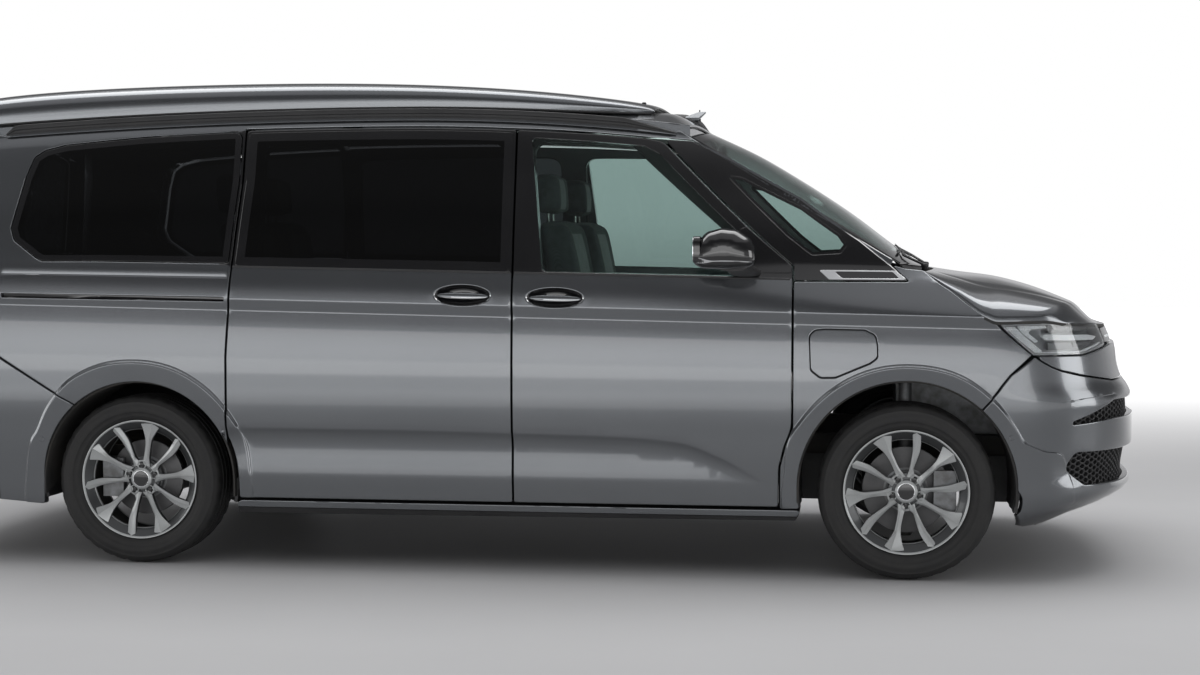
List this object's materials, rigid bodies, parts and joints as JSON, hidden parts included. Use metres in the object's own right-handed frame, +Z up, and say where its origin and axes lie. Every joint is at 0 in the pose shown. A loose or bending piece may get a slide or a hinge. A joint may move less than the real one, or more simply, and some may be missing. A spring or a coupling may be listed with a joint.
{
  "type": "camper van",
  "caption": "Camper van with a low lifting roof, sliding side doors, hinged cab doors, tailgate, bonnet, steered front wheels and a furnished cabin.",
  "frame": {"origin": "on the floor under the middle of the body", "axes": "+X forwards to the nose, +Y to the left side, +Z up"},
  "size_m": [5.173, 2.2476, 1.999],
  "materials": {
    "paint": "gloss metallic",
    "underbody": "matt",
    "black_plastic": "grained",
    "gloss_black": "gloss",
    "lamp_clear": "clear",
    "clear_glass": "tinted",
    "dark_glass": "dark tint",
    "lamp_red": "gloss",
    "seat_cloth": "woven",
    "furniture": "satin",
    "cast": "rough",
    "steel": "satin",
    "canvas": "woven",
    "tyre": "matt",
    "wheel_silver": "satin",
    "leather_black": "satin"
  },
  "bodies": {
    "body": {"floor_pan": "underbody", "side_frame_right": "paint", "side_frame_left": "paint", "front_frame": "underbody", "front_wings": "paint", "arch_liners": "black_plastic", "front_bumper": "paint", "front_grilles": "gloss_black", "headlamps": "lamp_clear", "windscreen": "clear_glass", "roof_frame": "paint", "roof_rails": "black_plastic", "rear_windows": "dark_glass", "cab_quarter_windows": "clear_glass", "sliding_door_right": "paint", "sliding_door_left": "paint", "rear_bumper": "paint", "tail_lamps": "lamp_red", "dashboard": "black_plastic", "seats": "seat_cloth", "kitchen_unit": "furniture", "engine_block": "cast", "fuel_tank": "black_plastic", "exhaust": "steel", "front_subframe": "underbody", "rear_axle": "underbody", "wipers": "black_plastic", "roof_canvas": "canvas"},
    "front_door_right": {"front_door_right": "paint", "front_door_window_right": "clear_glass", "mirror_right": "gloss_black"},
    "front_door_left": {"front_door_left": "paint", "front_door_window_left": "clear_glass", "mirror_left": "gloss_black"},
    "tailgate": {"tailgate": "paint", "tailgate_window": "dark_glass"},
    "bonnet": {"bonnet": "paint"},
    "lifting_roof": {"pop_roof": "paint"},
    "knuckle_front_right": {"knuckle_front_right": "cast"},
    "knuckle_front_left": {"knuckle_front_left": "cast"},
    "wheel_front_right": {"tyre_front_right": "tyre", "wheel_front_right": "wheel_silver"},
    "wheel_front_left": {"tyre_front_left": "tyre", "wheel_front_left": "wheel_silver"},
    "wheel_rear_right": {"tyre_rear_right": "tyre", "wheel_rear_right": "wheel_silver"},
    "wheel_rear_left": {"tyre_rear_left": "tyre", "wheel_rear_left": "wheel_silver"},
    "steering_wheel": {"steering_wheel": "leather_black"}
  },
  "joints": [
    {"name": "front_door_right_hinge", "type": "hinge", "parent": "body", "child": "front_door_right", "pos_m": [1.1565, -0.9525, 0.8], "axis": [0, 0, 1], "range_deg": [0, 70]},
    {"name": "front_door_left_hinge", "type": "hinge", "parent": "body", "child": "front_door_left", "pos_m": [1.1565, 0.9525, 0.8], "axis": [0, 0, -1], "range_deg": [0, 70]},
    {"name": "tailgate_hinge", "type": "hinge", "parent": "body", "child": "tailgate", "pos_m": [-2.4245, 0, 1.858], "axis": [0, 1, 0], "range_deg": [0, 85]},
    {"name": "bonnet_hinge", "type": "hinge", "parent": "body", "child": "bonnet", "pos_m": [1.6905, 0, 1.222], "axis": [0, -1, 0], "range_deg": [0, 45]},
    {"name": "lifting_roof_hinge", "type": "hinge", "parent": "body", "child": "lifting_roof", "pos_m": [-2.38, 0, 1.885], "axis": [0, -1, 0], "range_deg": [0, 20]},
    {"name": "steering_right", "type": "hinge", "parent": "body", "child": "knuckle_front_right", "pos_m": [1.6405, -0.752, 0.19], "axis": [0, 0.2567, 0.9665], "range_deg": [-33, 33]},
    {"name": "steering_left", "type": "hinge", "parent": "body", "child": "knuckle_front_left", "pos_m": [1.6405, 0.752, 0.19], "axis": [0, -0.2567, 0.9665], "range_deg": [-33, 33]},
    {"name": "spin_front_right", "type": "hinge", "parent": "knuckle_front_right", "child": "wheel_front_right", "pos_m": [1.6405, -0.811, 0.346], "axis": [0, 1, 0], "continuous": true},
    {"name": "spin_front_left", "type": "hinge", "parent": "knuckle_front_left", "child": "wheel_front_left", "pos_m": [1.6405, 0.811, 0.346], "axis": [0, 1, 0], "continuous": true},
    {"name": "spin_rear_right", "type": "hinge", "parent": "body", "child": "wheel_rear_right", "pos_m": [-1.4835, -0.811, 0.346], "axis": [0, 1, 0], "continuous": true},
    {"name": "spin_rear_left", "type": "hinge", "parent": "body", "child": "wheel_rear_left", "pos_m": [-1.4835, 0.811, 0.346], "axis": [0, 1, 0], "continuous": true},
    {"name": "steering_wheel_turn", "type": "hinge", "parent": "body", "child": "steering_wheel", "pos_m": [1.0005, -0.39, 1.075], "axis": [-0.9272, 0, 0.3746], "range_deg": [-465, 465]}
  ],
  "couplings": [
    {"joint": "steering_left", "follows": "steering_right", "ratio": 1},
    {"joint": "steering_wheel_turn", "follows": "steering_right", "ratio": 14}
  ]
}
